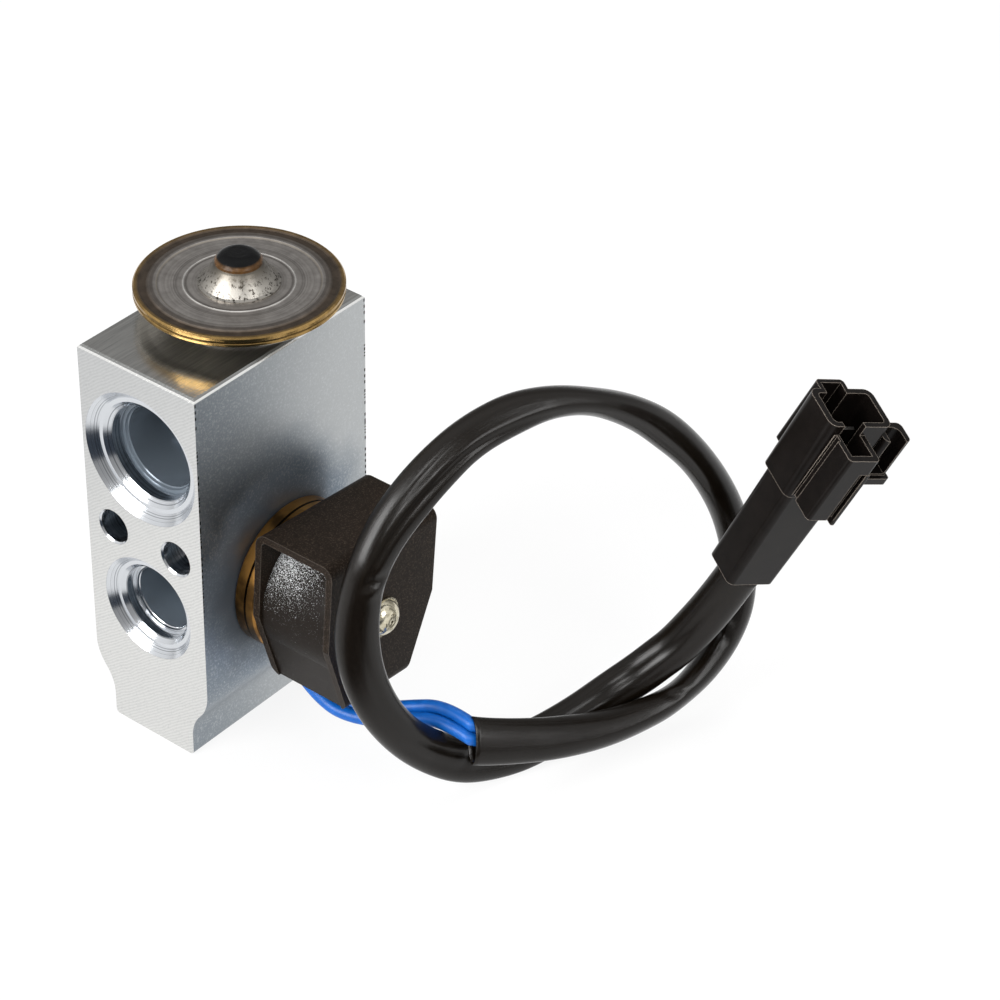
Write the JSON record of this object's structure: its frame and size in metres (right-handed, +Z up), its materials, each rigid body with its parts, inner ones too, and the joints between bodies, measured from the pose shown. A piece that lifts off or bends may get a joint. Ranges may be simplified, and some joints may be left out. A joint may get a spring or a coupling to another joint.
{
  "type": "block expansion valve",
  "caption": "Block expansion valve with pipe ports front and rear, diaphragm power head on top and a side solenoid whose sleeved lead ends in a connector.",
  "frame": {"origin": "centre of the block's foot face", "axes": "+Z up along the valve stem, -Y out of the front pipe ports, +X out along the solenoid"},
  "size_m": [0.1325, 0.0967, 0.0995],
  "materials": {
    "block_aluminium": "machined and extruded",
    "head_steel": "heat tinted",
    "spring_steel": "bright",
    "boss_steel": "satin",
    "black_sealant": "glossy",
    "seal_rubber": "matt",
    "turned_steel": "turned",
    "collar_brass": "dull",
    "yoke_paint": "satin black",
    "coil_moulding": "grained",
    "bobbin_plastic": "matt",
    "copper_wire": "lacquered",
    "screw_zinc": "yellow zinc",
    "wire_blue": "smooth",
    "sleeve_black": "semi gloss",
    "connector_black": "semi gloss",
    "terminal_tin": "tinned"
  },
  "bodies": {
    "valve": {"valve_block": "block_aluminium", "head_lower_shell": "head_steel", "diaphragm": "spring_steel", "head_upper_shell": "head_steel", "charge_boss": "boss_steel", "charge_cap": "black_sealant", "head_seal_ring": "seal_rubber", "rod_o_ring": "seal_rubber", "valve_spring": "spring_steel", "adjusting_screw": "turned_steel", "adjusting_screw_o_ring": "seal_rubber", "solenoid_collar": "collar_brass", "collar_o_ring": "seal_rubber", "plunger_tube": "turned_steel", "fixed_core": "turned_steel", "plunger_spring": "spring_steel", "coil_yoke": "yoke_paint", "coil_body": "coil_moulding", "coil_bobbin": "bobbin_plastic", "coil_winding": "copper_wire", "coil_screw": "screw_zinc", "coil_screw_washer": "screw_zinc", "lead_wire_1": "wire_blue", "lead_wire_2": "wire_blue", "lead_sleeve": "sleeve_black", "connector_housing": "connector_black", "terminal_1": "terminal_tin", "terminal_2": "terminal_tin"},
    "stem": {"thrust_plate": "turned_steel", "sensing_rod": "turned_steel", "valve_ball": "turned_steel", "ball_carrier": "turned_steel"},
    "armature": {"plunger": "turned_steel", "plunger_seat_pad": "seal_rubber"}
  },
  "joints": [
    {"name": "stem_stroke", "type": "slide", "parent": "valve", "child": "stem", "axis": [0, 0, -1], "range_m": [0, 0.0008], "stiffness_N_per_m": 800, "deforming": ["valve_spring", "diaphragm"]},
    {"name": "plunger_stroke", "type": "slide", "parent": "valve", "child": "armature", "axis": [1, 0, 0], "range_m": [0, 0.0015], "stiffness_N_per_m": 200, "deforming": ["plunger_spring"]}
  ]
}
